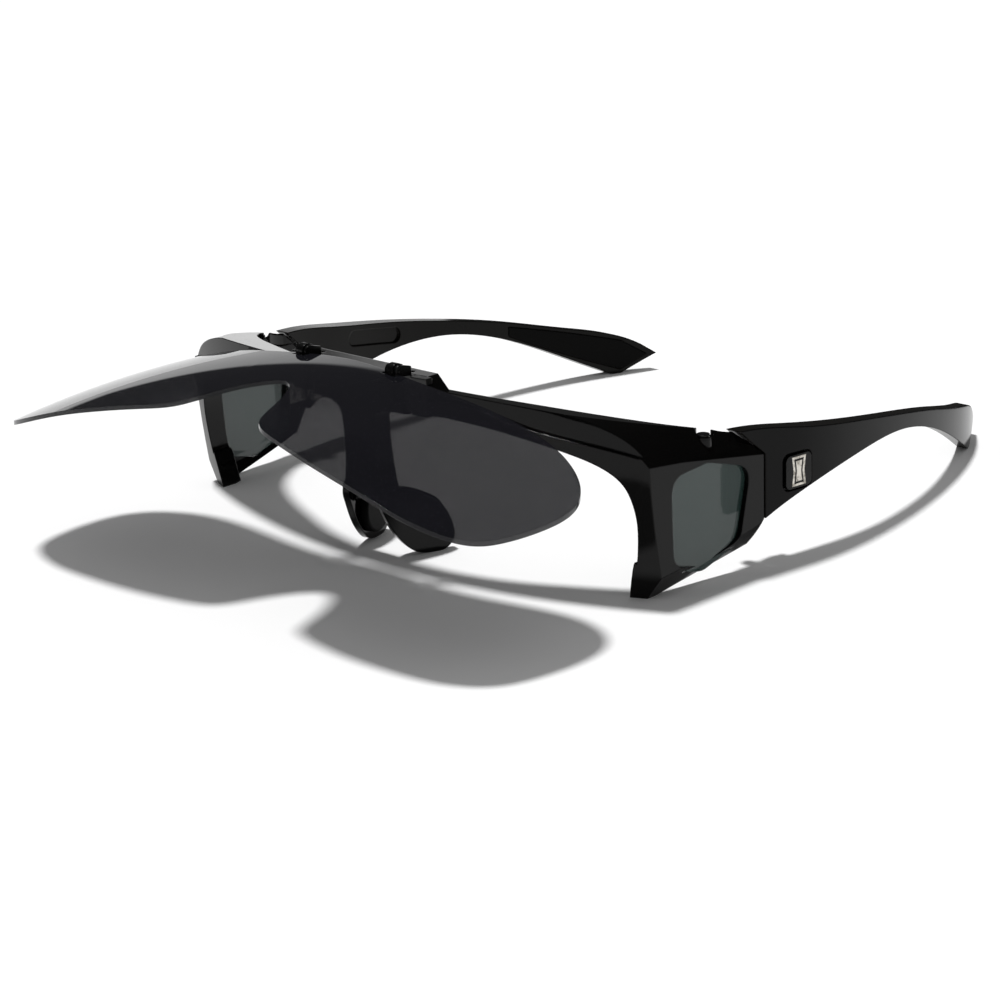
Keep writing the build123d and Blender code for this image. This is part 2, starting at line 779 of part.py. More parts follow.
def plan_band(outer, inner):
    with BuildSketch(Plane.XY.offset(table - overrun)) as plan:
        with BuildLine():
            Spline(*outer)
            Spline(*inner)
            Line(outer[0], inner[0])
            Line(outer[-1], inner[-1])
        make_face()
    return extrude(plan.sketch, 3 * overrun + flip_axis_z)


def temple_top_points():
    stations = zip(temple_shares, temple_top_shares)
    return [(temple_y(share), temple_top_height * height) for share, height in stations]


def temple_low_points():
    stations = zip(temple_shares[1:], temple_low_shares)
    return [(temple_y(share), temple_low_height * height) for share, height in stations]


def temple_side():
    """The temple seen from the side, from the slanted joint to the tip."""
    top = temple_top_points() + [(temple_y(temple_end_top_share), temple_end_top_height)]
    low = temple_low_points() + [(temple_y(temple_heel_start_share), table)]
    front_low = (joint_y + joint_gap, low[0][1])
    front_kink = (joint_y + joint_gap, side_face_joint_height + joint_gap / 2)
    front_top = (notch_y + joint_gap, roof_line(notch_y))
    with BuildSketch(Plane.YZ) as sketch:
        with BuildLine():
            Polyline(low[-1], (temple_y(temple_heel_end_share), table), (temple_y(1), temple_end_height), top[-1])
            Spline(front_top, *top[1:])
            Polyline(front_low, front_kink, front_top)
            Spline(front_low, *low[1:])
        make_face()
    return along_x(sketch.sketch, table, temple_half_width + overrun)


def temple_bevel():
    """What lies outside the leaning upper band of the temple's outer face."""
    top = temple_top_points() + [(temple_y(1), temple_end_height)]
    low = temple_low_points()
    outer = temple_outer_points(0)
    sections = []
    for number, (y, height) in enumerate(top):
        foot = low[max(0, min(number - 1, len(low) - 1))][1]
        drop = temple_bevel_share * (height - foot)
        x = outer[number][0]
        down = (x + temple_bevel_inset, height - 2 * drop)
        up = (x - 3 * temple_bevel_inset, height + 2 * drop)
        corner = (x + 3 * temple_bevel_inset, height + 2 * drop)
        sections.append(Pos(0, y, 0) * face_from([down, up, corner], Plane.XZ))
    return loft(sections, ruled=True)


def grip_band(grow):
    """The rubber grip's shape, let into the inner face of the tip."""
    side = temple_inner_points(-grip_stand_off)
    deep = temple_inner_points(grip_depth + grow)
    top = [(y, z - grip_inset + grow) for y, z in temple_top_points()[grip_stations]]
    shares = temple_low_points()
    low = [(shares[4][0], shares[4][1] + grip_inset - grow), (shares[5][0], shares[5][1] + grip_inset - grow)]
    heel = (temple_y(temple_heel_end_share), grip_inset - grow)
    back = (temple_y(1) - grip_end_inset + grow, temple_end_height)
    with BuildSketch(Plane.YZ) as sketch:
        with BuildLine():
            Spline(*top)
            Polyline(top[-1], back, heel)
            Spline(heel, low[1], low[0])
            Line(low[0], top[0])
        make_face()
    return plan_band(side, deep) & along_x(sketch.sketch, table, temple_half_width + overrun)


def temple_slot():
    """Long shallow recess on the inner face behind the hinge."""
    middle = slot_start_y + slot_length / 2
    with BuildSketch(Plane.YZ) as sketch:
        with Locations((middle, slot_middle_height)):
            SlotOverall(slot_length, slot_height, rotation=-slot_fall_angle)
    band = plan_band(temple_inner_points(-shallow_overrun), temple_inner_points(slot_depth))
    return band & along_x(sketch.sketch, table, temple_half_width + overrun)


def badge_solid(grow, depth, stand_off):
    """A plain rounded plate on the outer face of the temple."""
    x = temple_half_width * temple_outer_shares[2]
    x -= math.tan(math.radians(badge_turn)) * (temple_y(badge_station_share) - badge_y)
    with BuildSketch(Plane.YZ) as sketch:
        RectangleRounded(badge_length + 2 * grow, badge_height + 2 * grow, badge_corner + grow)
    plate = Pos(-depth, 0, 0) * extrude(sketch.sketch, depth + stand_off)
    return Pos(x, badge_y, badge_z) * Rot(0, 0, -badge_turn) * plate


def make_badge():
    return badge_solid(0, badge_thickness, badge_stand_off)


def make_temple():
    temple = temple_side() & temple_band(0, 0)
    temple -= temple_bevel()
    temple += hinge_boss(1) & temple_side()
    temple -= hinge_rivet_holes(1)
    temple -= grip_band(grip_gap)
    temple -= temple_slot()
    return temple - badge_solid(badge_margin, badge_thickness, shallow_overrun)


def make_frame_front():
    face_offset = shield_thickness / 2 + rim_gap
    outer = barrel(face_offset) & plan_prism(0, joint_y) & front_prism(0) & side_prism()
    cavity = barrel(face_offset + rim_depth) & plan_prism(wall, joint_y + overrun)
    cavity = cavity & lowered(front_prism(wall), roof_thickness) & roof_space()
    frame = outer - cavity - shelf_cut()
    for block in left_and_right(bevel_block()):
        frame -= block
    for cut in left_and_right(brow_setback()):
        frame -= cut
    for opening in left_and_right(opening_prism()):
        frame -= opening
    frame -= nose_arch()
    rebate = side_slab(wall - window_panel_thickness, window_panel_thickness + rebate_overrun)
    rebate = rebate & window_cut(window_lip)
    for cut in left_and_right(window_cut(0)):
        frame -= cut
    for cut in left_and_right(rebate):
        frame -= cut
    frame += platform()
    for boss in left_and_right(hinge_boss(-1) + corner_boss() + make_wing()):
        frame += boss
    for cut in left_and_right(clip_pocket() + bracket_space() + hinge_rivet_holes(-1) + corner_pocket()):
        frame -= cut
    return frame


def lowered(solid, drop):
    return Pos(0, 0, -drop) * solid


def roof_space():
    """The space under the roof, open behind and below."""
    front = flip_axis_y - overrun
    back = joint_y + overrun
    points = [
        (front, roof_line(front) - roof_thickness),
        (back, roof_line(back) - roof_thickness),
        (back, table - overrun),
        (front, table - overrun),
    ]
    return along_x(face_from(points, Plane.YZ), -joint_half_width - overrun, joint_half_width + overrun)


def nose_arch():
    """The rounded space over the nose under the column."""
    half = column_half_width + column_flare + nose_arch_margin
    rise = half * nose_arch_rise_share
    spring = column_foot_height - nose_arch_drop - rise
    with BuildSketch(Plane.XZ) as sketch:
        with BuildLine():
            Polyline((-half, spring), (-half, table - overrun), (half, table - overrun), (half, spring))
            ThreePointArc((half, spring), (0, spring + rise), (-half, spring))
        make_face()
    return along_y(sketch.sketch, flip_axis_y - overrun, notch_y)


def platform():
    """Raised flat in the middle of the brow that carries the flip hinges."""
    base = brow_height - roof_thickness
    points = [
        (-platform_half_width - platform_run, base), (platform_half_width + platform_run, base),
        (platform_half_width, platform_height), (-platform_half_width, platform_height),
    ]
    front = flip_axis_y - overrun
    back = surface_y(0, rim_depth) + brow_depth_margin
    prism = along_y(face_from(points, Plane.XZ), front, back)
    return prism & barrel(shield_thickness / 2 + rim_gap)


def group(solids):
    """Separate solids that share one node."""
    return Compound(children=solids)


def both(solid):
    return {"left": solid, "right": mirror(solid, about=Plane.YZ)}


def make_parts():
    parts = {"frame_front": make_frame_front(), "shield_lens": turned_up(make_shield())}
    sided = {
        "side_lens": make_window(),
        "nose_pad": make_nose_pad(),
        "front_leaf": make_hinge_leaf(-1),
        "temple_leaf": make_hinge_leaf(1),
        "hinge_screw": make_hinge_screw(),
        "flip_bracket": make_bracket(),
        "flip_pin": make_flip_pin(),
        "corner_screw": make_corner_screw(),
        "shield_clip": turned_up(make_clip(flip_hinge_x)),
        "temple": make_temple(),
        "temple_grip": grip_band(0),
        "temple_badge": make_badge(),
    }
    for name, solid in sided.items():
        for side, piece in both(solid).items():
            parts[name + "_" + side] = piece
    front_rivets = make_hinge_rivets(-1)
    parts["front_leaf_rivets"] = group(front_rivets + [mirror(rivet, about=Plane.YZ) for rivet in front_rivets])
    temple_rivets = make_hinge_rivets(1)
    parts["temple_leaf_rivets_left"] = group(temple_rivets)
    parts["temple_leaf_rivets_right"] = group([mirror(rivet, about=Plane.YZ) for rivet in temple_rivets])
    parts["flip_bracket_screws"] = group(list(both(make_bracket_screw()).values()))
    parts["shield_clip_rivets"] = group(list(both(turned_up(make_clip_rivet(flip_hinge_x))).values()))
    return parts


def main():
    os.makedirs("parts", exist_ok=True)
    parts = make_parts()
    boxes = [part.bounding_box() for part in parts.values()]
    middle = (min(box.min.Y for box in boxes) + max(box.max.Y for box in boxes)) / 2
    for name, part in parts.items():
        export_step(Pos(0, -middle, 0) * part, "parts/" + name + ".step")
    print("moved along y by", -middle)


main()
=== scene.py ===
"""Looks of the fit-over sunglasses with a flip-up shield: finishes, lens, flip hinges, table, lamps and camera.

Metres, in the part's own frame: +X to the wearer's left, +Y from the front to the temple tips, +Z up.
"""

import math

import bpy
import numpy as np
from mathutils import Matrix, Vector


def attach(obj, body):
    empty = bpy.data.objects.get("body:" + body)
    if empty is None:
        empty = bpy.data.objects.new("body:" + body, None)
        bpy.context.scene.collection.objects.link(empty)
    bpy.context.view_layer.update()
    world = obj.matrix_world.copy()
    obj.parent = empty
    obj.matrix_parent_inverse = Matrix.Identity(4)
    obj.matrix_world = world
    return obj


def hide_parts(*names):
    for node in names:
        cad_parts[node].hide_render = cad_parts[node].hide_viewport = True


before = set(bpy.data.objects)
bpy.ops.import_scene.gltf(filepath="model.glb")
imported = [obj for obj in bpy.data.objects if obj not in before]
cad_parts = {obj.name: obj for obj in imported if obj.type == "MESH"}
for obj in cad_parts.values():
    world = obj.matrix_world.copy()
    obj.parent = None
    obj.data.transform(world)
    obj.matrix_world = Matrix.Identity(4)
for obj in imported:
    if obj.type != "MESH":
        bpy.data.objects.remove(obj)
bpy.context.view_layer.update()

MM = 0.001
SIDES = (("left", 1), ("right", -1))

# Camera, at the photograph's place
CAMERA_PLACE = (0.493277, -0.538097, 0.232147)
CAMERA_AZIMUTH = math.radians(43.209)
CAMERA_ELEVATION = math.radians(17.707)
CAMERA_ROLL = math.radians(-1.75)
CAMERA_LENS = 111.29
CAMERA_NEAR = 0.01
SENSOR_WIDTH = 36.0

# Sun lamp and the room's plain light
KEY_FROM = (-0.24, 0.03, 1.0)
KEY_STRENGTH = 2.75
KEY_ANGLE = math.radians(7.0)
AMBIENT = 0.27

# The room as gloss sees it: dark, with a low bright card. Its top edge rises with x + y, soft by the edge value,
# from the low to the high limit, and it fades in between two values of y.
UPPER_ROOM = 0.030
CARD_STRENGTH = 0.70
CARD_MIDDLE = 0.285
CARD_SLOPE = 1.0
CARD_LOW = 0.04
CARD_HIGH = 0.42
CARD_EDGE = 0.015
CARD_FRONT = (0.35, 0.55)

# Table, and the dark flag that hides the card from the brow
TABLE_HALF = 6.0
FLAG_Y = 0.135
FLAG_LEFT = -0.155
FLAG_RIGHT = 1.5
FLAG_HEIGHT = 0.7

# Colours
WHITE = (1, 1, 1, 1)
BLACK = (0.0012, 0.0012, 0.0013, 1)
BLACK_WARM = (0.0070, 0.0062, 0.0048, 1)
RUBBER = (0.0020, 0.0020, 0.0020, 1)
RUBBER_BLOOMED = (0.0030, 0.0029, 0.0027, 1)
STEEL = (0.55, 0.54, 0.52, 1)
STEEL_DULL = (0.33, 0.324, 0.312, 1)
NICKEL = (0.66, 0.63, 0.57, 1)
NICKEL_DULL = (0.20, 0.18, 0.15, 1)
FLOOR = (0.97, 0.97, 0.97, 1)
FLOOR_SOFT = (0.95, 0.95, 0.95, 1)

# Settings of the moulding and the lens plastic, each made in two kinds
FRAME_MOULDING = {"warmth": 0.25, "roughness": 0.045, "shine": 0.16}
BURNISHED_FITTING = {"warmth": 0.1, "roughness": 0.26, "shine": 0.35}
SHIELD_TINT = {"tint": (0.009, 0.009, 0.012, 1), "deep": (0.007, 0.007, 0.009, 1), "alphas": (0.79, 0.945)}
SIDE_TINT = {"tint": (0.028, 0.052, 0.047, 1), "deep": (0.022, 0.042, 0.038, 1), "alphas": (0.81, 0.88)}

# Warm black on the temples' inner faces: the least share, and what the flow marks add to it
TEMPLE_INNER_WARMTH = (0.25, 0.5)

# Noise patterns: waves per metre, octaves and roughness
MOULDING_FLOW = (70.0, 3.0)
MOULDING_GRAIN = (2600.0, 1.0)
MOULDING_MARKS = (320.0, 5.0, 0.65)
TEMPLE_FLOW = (55.0, 3.0)
TEMPLE_GRAIN = (2400.0, 1.0)
LENS_CLOUD = (38.0, 3.0)
LENS_SMEAR = (210.0, 4.0, 0.7)
NICKEL_TARNISH = (700.0, 4.0, 0.7)
RUBBER_GRAIN = (1800.0, 2.0)
RUBBER_BLOOM = (120.0, 3.0)
STEEL_LINES = (900.0, 2.0, 0.6)
STEEL_TARNISH = (260.0, 3.0)
TABLE_CLOUD = (3.0, 2.0)

# How much closer the steel's drawn lines lie along each axis
STEEL_DRAWN = (1, 6, 1)

# Where a pattern or an angle starts and stops to count
MARKS_SPAN = (0.50, 0.74)
SMEAR_SPAN = (0.55, 0.80)
TARNISH_SPAN = (0.42, 0.68)
SLANT_SPAN = (0.55, 0.82)
INNER_SPAN = (0.002, 0.02)

# Relief: depth and strength of each, and the height of flow marks and tarnish beside what they lie on
FLOW_HEIGHT_SHARE = 2.0
TARNISH_HEIGHT_SHARE = 0.1
MOULDING_BUMP = (0.01 * MM, 0.25)
TEMPLE_BUMP = (0.01 * MM, 0.3)
NICKEL_BUMP = (0.2 * MM, 0.8)
RUBBER_BUMP = (0.03 * MM, 0.5)
STEEL_BUMP = (0.01 * MM, 0.35)
BEVEL_SAMPLES = 6
EDGE_RADIUS = 0.45 * MM
FINE_EDGE_RADIUS = 0.18 * MM

# Roughness and gloss of the finishes
FLOW_ROUGHNESS = 0.03
MARKS_ROUGHNESS = 0.10
TEMPLE_ROUGHNESS = 0.07
TEMPLE_FLOW_ROUGHNESS = 0.04
TEMPLE_INNER_ROUGHNESS = 0.12
TEMPLE_SHINE = 0.10
LENS_ROUGHNESS = 0.02
SMEAR_ROUGHNESS = 0.03
CLOUD_ALPHA = 0.015
LENS_SHINE = 0.26
NICKEL_ROUGHNESS = 0.22
NICKEL_TARNISH_ROUGHNESS = 0.2
BADGE_SHINE = 0.2
RUBBER_ROUGHNESS = 0.52
RUBBER_BLOOM_ROUGHNESS = 0.12
RUBBER_SHINE = 0.06
STEEL_ROUGHNESS = 0.22
STEEL_LINES_ROUGHNESS = 0.12
STEEL_TARNISH_SHARE = 0.5
FLOOR_ROUGHNESS = 0.9

# Bare badge plate: middle and half size in y and z, its waist, edge, and the groove inside its border
BADGE_MIDDLE = (3.2 * MM, 20.6 * MM)
BADGE_HALF = (2.3 * MM, 3.6 * MM)
BADGE_WAIST = 0.14
BADGE_EDGE = (-0.12 * MM, 0.04 * MM)
BADGE_BORDER = 0.9 * MM
BADGE_GROOVE = (0.12 * MM, 0.30 * MM)

# From the y of the source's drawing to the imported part's
WORK_SHIFT = -43.82649811681308 * MM

# Shield lens: crossed radii, the line that its sheet hangs from, its turn when up, and its two faces
LENS_ACROSS_RADIUS = 182.07 * MM
LENS_DOWN_RADIUS = 258.81 * MM
LENS_LINE = (-18.27 * MM + WORK_SHIFT, 47.49 * MM)
LENS_TURN = math.radians(91.3)
LENS_TOP_FACE = -0.8 * MM
LENS_BACK_FACE = 0.2 * MM
LENS_COLUMNS = 90
LENS_ROWS = 24

# Its outline from the nose notch round the left tip to the hinges, in shares of its half width and height
LENS_HALF_WIDTH = 78.48 * MM
LENS_HEIGHT = 46.58 * MM
LENS_NOTCH_TOP = 0.433
LENS_TOP_MIDDLE = -0.018
LENS_OUTLINE = [
    (0.073, 0.536), (0.127, 0.726), (0.173, 0.882), (0.277, 0.953), (0.447, 0.995),
    (0.631, 1.001), (0.795, 0.974), (0.928, 0.867), (0.985, 0.692), (1.005, 0.469),
    (0.996, 0.250), (0.932, 0.068), (0.784, -0.051), (0.565, -0.046), (0.277, 0.010),
]
LENS_TIP_SHARE = 0.9999
SPLINE_STEPS = 24

# Flip hinges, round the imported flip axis, and the notch that each leaves in the lens
HINGE_X = 14.6 * MM
HINGE_PLACE = (-18.2 * MM + WORK_SHIFT, 48.3 * MM)
HINGE_NOTCH_HALF = 2.1 * MM
HINGE_NOTCH_DEPTH = 2.25 * MM
NOTCH_WALL = 0.02 * MM
NOTCH_MARGIN = 0.001 * MM

# Clips on the lens: the eye round the pin from angle to angle, and the tongue under the lens
CLIP_HALF_WIDTH = 0.9 * MM
CLIP_RADIUS = 1.75 * MM
CLIP_EYE = (math.radians(-62), math.radians(200))
CLIP_TAIL = 6.6 * MM
CLIP_TAIL_TOP = 1.12 * MM
CLIP_TAIL_THICKNESS = 0.6 * MM

# Round heads of the clips' rivets and the brackets' screws
HEAD_RADIUS = 0.6 * MM
HEAD_HEIGHT = 0.3 * MM
HEAD_CROWN_SHARE = 0.7
RIVET_SETBACK = 5.0 * MM
ROUND_STEPS = 24

# Brackets on the brow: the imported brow's front face, the ears beside each clip, and the plate let into the brow
BROW_ACROSS_RADIUS = 182.0 * MM
BROW_DOWN_RADIUS = 270.0 * MM
BROW_FACE = 1.3 * MM
EAR_RADIUS = 1.4 * MM
EAR_ROUND = (math.radians(80), math.radians(262))
EAR_GAP = 0.06 * MM
EAR_THICKNESS = 0.8 * MM
EAR_BACK = 3.6 * MM
EAR_BACK_RISE = EAR_RADIUS / 3
EAR_SEAT = 46.6 * MM
PLATE_ACROSS = (14.4 * MM, 21.9 * MM)
PLATE_UP = (37.7 * MM, 46.7 * MM)
PLATE_DEPTH = 2.0 * MM
PLATE_STEPS = 8
POCKET_END = 17.3 * MM
POCKET_DEPTH = 0.95 * MM

SHARP_ANGLE = math.radians(35)


class Link:
    """One socket in a node tree; arithmetic on it adds Math nodes."""

    def __init__(self, tree, socket):
        self.tree = tree
        self.socket = socket

    def _math(self, operation, first, second):
        node = self.tree.nodes.new("ShaderNodeMath")
        node.operation = operation
        for place, value in enumerate((first, second)):
            if isinstance(value, Link):
                self.tree.links.new(value.socket, node.inputs[place])
            else:
                node.inputs[place].default_value = value
        return Link(self.tree, node.outputs[0])

    def __add__(self, other):
        return self._math("ADD", self, other)

    def __radd__(self, other):
        return self._math("ADD", other, self)

    def __sub__(self, other):
        return self._math("SUBTRACT", self, other)

    def __rsub__(self, other):
        return self._math("SUBTRACT", other, self)

    def __mul__(self, other):
        return self._math("MULTIPLY", self, other)

    def __rmul__(self, other):
        return self._math("MULTIPLY", other, self)

    def larger(self, other):
        return self._math("MAXIMUM", self, other)

    def smaller(self, other):
        return self._math("MINIMUM", self, other)

    def size(self):
        return self._math("ABSOLUTE", self, 0.0)


class Nodes:
    """A node tree under construction."""

    def __init__(self, tree):
        self.tree = tree
        tree.nodes.clear()

    def add(self, kind, settings=None, sockets=None, output=0):
        """One node: its settings first, then the values or links of its sockets; gives an output."""
        node = self.tree.nodes.new(kind)
        for name, value in (settings or {}).items():
            setattr(node, name, value)
        for name, value in (sockets or {}).items():
            socket = next(s for s in node.inputs if s.name == name and not s.is_unavailable)
            if isinstance(value, Link):
                self.tree.links.new(value.socket, socket)
            else:
                socket.default_value = value
        outputs = [s for s in node.outputs if not s.is_unavailable]
        if isinstance(output, int):
            return Link(self.tree, outputs[output])
        return Link(self.tree, next(s for s in outputs if s.name == output))

    def blend(self, factor, first, second):
        """Colour between two colours."""
        sockets = {"Factor": factor, "A": first, "B": second}
        return self.add("ShaderNodeMix", {"data_type": "RGBA"}, sockets, output="Result")

    def place(self):
        """Where the shaded point lies, in metres."""
        return self.add("ShaderNodeTexCoord", output="Object")

    def part(self, vector, axis):
        """One of a vector's three numbers."""
        return self.add("ShaderNodeSeparateXYZ", {}, {"Vector": vector}, output=axis)

    def noise(self, waves, octaves, rough=0.5, where=None):
        """Soft noise from 0 to 1."""
        sockets = {"Vector": where or self.place(), "Scale": waves, "Detail": octaves, "Roughness": rough}
        return self.add("ShaderNodeTexNoise", {}, sockets, output="Fac")

    def span(self, value, low, high, start=0.0, end=1.0):
        """Value carried from the range low..high to start..end, smoothly and clamped."""
        sockets = {"Value": value, "From Min": low, "From Max": high, "To Min": start, "To Max": end}
        return self.add("ShaderNodeMapRange", {"interpolation_type": "SMOOTHSTEP"}, sockets, output="Result")

    def rounded(self, radius):
        """Shading normal with the edges rounded over."""
        return self.add("ShaderNodeBevel", {"samples": BEVEL_SAMPLES}, {"Radius": radius})

    def bump(self, height, distance, strength, radius):
        """Shading normal of a fine relief on a surface whose edges are rounded over."""
        sockets = {"Height": height, "Distance": distance, "Strength": strength, "Normal": self.rounded(radius)}
        return self.add("ShaderNodeBump", {}, sockets)

    def surface(self, colour, roughness, sockets):
        """The finish: its colour, its roughness and the other sockets that it sets."""
        sockets = {"Base Color": colour, "Roughness": roughness, **sockets}
        return self.add("ShaderNodeBsdfPrincipled", {}, sockets)


def fill(tree, build, kind):
    """Fills a node tree with what the build function adds, whose surface goes to an output of this kind."""
    surface = build(Nodes(tree))
    output = tree.nodes.new(kind)
    tree.links.new(surface.socket, output.inputs["Surface"])


def finish(name, build):
    """A material whose nodes are added by the build function."""
    material = bpy.data.materials.new(name)
    material.use_nodes = True
    fill(material.node_tree, build, "ShaderNodeOutputMaterial")
    return material


def moulded_black(warmth, roughness, shine):
    """Black moulding: faint flow marks, dust-fine pits and handling marks."""

    def build(nodes):
        flow = nodes.noise(*MOULDING_FLOW)
        grain = nodes.noise(*MOULDING_GRAIN)
        marks = nodes.span(nodes.noise(*MOULDING_MARKS), *MARKS_SPAN)
        colour = nodes.blend(flow * warmth, BLACK, BLACK_WARM)
        rough = roughness + flow * FLOW_ROUGHNESS + marks * MARKS_ROUGHNESS
        normal = nodes.bump(grain + flow * FLOW_HEIGHT_SHARE, *MOULDING_BUMP, EDGE_RADIUS)
        return nodes.surface(colour, rough, {"Specular IOR Level": shine, "Normal": normal})

    return build


def temple_black(nodes):
    """Polished outside; brown-black and satin on the face turned to the head."""
    facing = nodes.part(nodes.add("ShaderNodeTexCoord", output="Normal"), "X")
    inner = nodes.span(facing * nodes.part(nodes.place(), "X"), *INNER_SPAN, 1.0, 0.0)
    flow = nodes.noise(*TEMPLE_FLOW)
    grain = nodes.noise(*TEMPLE_GRAIN)
    least, more = TEMPLE_INNER_WARMTH
    colour = nodes.blend(inner * (least + flow * more), BLACK, BLACK_WARM)
    rough = TEMPLE_ROUGHNESS + flow * TEMPLE_FLOW_ROUGHNESS + inner * TEMPLE_INNER_ROUGHNESS
    normal = nodes.bump(grain + flow * FLOW_HEIGHT_SHARE, *TEMPLE_BUMP, EDGE_RADIUS)
    return nodes.surface(colour, rough, {"Specular IOR Level": TEMPLE_SHINE, "Normal": normal})


def tinted(tint, deep, alphas):
    """Lens plastic: each face dims what is behind it, from the first alpha seen straight to the second at a slant."""

    def build(nodes):
        cloud = nodes.noise(*LENS_CLOUD)
        smear = nodes.span(nodes.noise(*LENS_SMEAR), *SMEAR_SPAN)
        slant = nodes.span(nodes.add("ShaderNodeLayerWeight", output="Facing"), *SLANT_SPAN, *alphas)
        return nodes.surface(nodes.blend(cloud, tint, deep), LENS_ROUGHNESS + smear * SMEAR_ROUGHNESS, {
            "Specular IOR Level": LENS_SHINE, "Alpha": slant + cloud * CLOUD_ALPHA,
            "Normal": nodes.rounded(FINE_EDGE_RADIUS)})

    return build


def badge_metal(nodes):
    """A small bare nickel plate, narrow at its waist, with a dark groove inside its border, set in black."""
    place = nodes.place()
    along = (nodes.part(place, "Y") - BADGE_MIDDLE[0]).size()
    up = (nodes.part(place, "Z") - BADGE_MIDDLE[1]).size()
    waist = along + (BADGE_HALF[1] - up) * BADGE_WAIST
    rim = (waist - BADGE_HALF[0]).larger(up - BADGE_HALF[1])
    plate = nodes.span(rim, *BADGE_EDGE, 1.0, 0.0)
    groove = nodes.span((rim + BADGE_BORDER).size(), *BADGE_GROOVE, 1.0, 0.0)
    tarnish = nodes.noise(*NICKEL_TARNISH)
    nickel = nodes.blend(nodes.span(tarnish, *TARNISH_SPAN), NICKEL, NICKEL_DULL)
    shape = plate * (1 - groove)
    normal = nodes.bump(shape + tarnish * TARNISH_HEIGHT_SHARE, *NICKEL_BUMP, FINE_EDGE_RADIUS)
    rough = NICKEL_ROUGHNESS + tarnish * NICKEL_TARNISH_ROUGHNESS
    return nodes.surface(nodes.blend(shape, BLACK, nickel), rough, {
        "Metallic": shape, "Specular IOR Level": BADGE_SHINE, "Normal": normal})


def soft_rubber(nodes):
    """Matte rubber with a fine grain and a little bloom."""
    grain = nodes.noise(*RUBBER_GRAIN)
    bloom = nodes.noise(*RUBBER_BLOOM)
    colour = nodes.blend(bloom, RUBBER, RUBBER_BLOOMED)
    normal = nodes.bump(grain, *RUBBER_BUMP, EDGE_RADIUS)
    rough = RUBBER_ROUGHNESS + bloom * RUBBER_BLOOM_ROUGHNESS
    return nodes.surface(colour, rough, {"Specular IOR Level": RUBBER_SHINE, "Normal": normal})


def drawn_steel(nodes):
    """Steel with fine drawn lines along one direction and slight tarnish."""
    drawn = nodes.add("ShaderNodeMapping", {}, {"Vector": nodes.place(), "Scale": STEEL_DRAWN})
    lines = nodes.noise(*STEEL_LINES, where=drawn)
    colour = nodes.blend(nodes.noise(*STEEL_TARNISH) * STEEL_TARNISH_SHARE, STEEL, STEEL_DULL)
    normal = nodes.bump(lines, *STEEL_BUMP, FINE_EDGE_RADIUS)
    rough = STEEL_ROUGHNESS + lines * STEEL_LINES_ROUGHNESS
    return nodes.surface(colour, rough, {"Metallic": 1.0, "Normal": normal})


def table_white(nodes):
    """Plain white table."""
    colour = nodes.blend(nodes.noise(*TABLE_CLOUD), FLOOR, FLOOR_SOFT)
    return nodes.surface(colour, FLOOR_ROUGHNESS, {"Specular IOR Level": 0.0})


def flag_dark(nodes):
    """Black felt, as even as the dim room beside it."""
    return nodes.add("ShaderNodeEmission", {}, {"Color": WHITE, "Strength": UPPER_ROOM})


def room(nodes):
    """White for the camera; for gloss, a dark room with one low bright card behind the glasses."""
    camera, glossy, through = [nodes.add("ShaderNodeLightPath", output=name)
                               for name in ("Is Camera Ray", "Is Glossy Ray", "Is Transmission Ray")]
    aim = nodes.add("ShaderNodeTexCoord", output="Generated")
    x, y, z = [nodes.part(aim, axis) for axis in "XYZ"]
    top = ((x + y) * CARD_SLOPE + CARD_MIDDLE).larger(CARD_LOW).smaller(CARD_HIGH)
    card = nodes.span(z - top, -CARD_EDGE, CARD_EDGE, CARD_STRENGTH, 0.0) * nodes.span(y, *CARD_FRONT)
    shiny = glossy.larger(through)
    strength = shiny * (card + UPPER_ROOM) + (1 - shiny) * AMBIENT
    sockets = {"Color": WHITE, "Strength": camera + (1 - camera) * strength}
    return nodes.add("ShaderNodeBackground", {}, sockets)


def place_object(name, data):
    """A new object in the scene."""
    thing = bpy.data.objects.new(name, data)
    bpy.context.scene.collection.objects.link(thing)
    return thing


def make_room():
    world = bpy.data.worlds.new("room")
    world.use_nodes = True
    bpy.context.scene.world = world
    fill(world.node_tree, room, "ShaderNodeOutputWorld")


def rectangle(name, corners, material):
    """A flat rectangle with one finish."""
    mesh = bpy.data.meshes.new(name)
    mesh.from_pydata(corners, [], [(0, 1, 2, 3)])
    mesh.materials.append(material)
    return place_object(name, mesh)


def make_table():
    """A flat square far larger than the view."""
    corners = [(TABLE_HALF * x, TABLE_HALF * y, 0) for x, y in ((-1, -1), (1, -1), (1, 1), (-1, 1))]
    table = rectangle("table", corners, finish("table_white", table_white))


def make_flag():
    """A dark card behind the glasses, which only their gloss sees."""
    foot = [(FLAG_LEFT, FLAG_Y, 0), (FLAG_RIGHT, FLAG_Y, 0)]
    head = [(FLAG_RIGHT, FLAG_Y, FLAG_HEIGHT), (FLAG_LEFT, FLAG_Y, FLAG_HEIGHT)]
    flag = rectangle("flag", foot + head, finish("flag_dark", flag_dark))
    flag.visible_camera = flag.visible_diffuse = flag.visible_shadow = flag.visible_transmission = False


def make_key_lamp():
    data = bpy.data.lights.new("key", "SUN")
    data.energy = KEY_STRENGTH
    data.angle = KEY_ANGLE
    lamp = place_object("key", data)
    lamp.matrix_world = Vector(KEY_FROM).to_track_quat("Z", "Y").to_matrix().to_4x4()


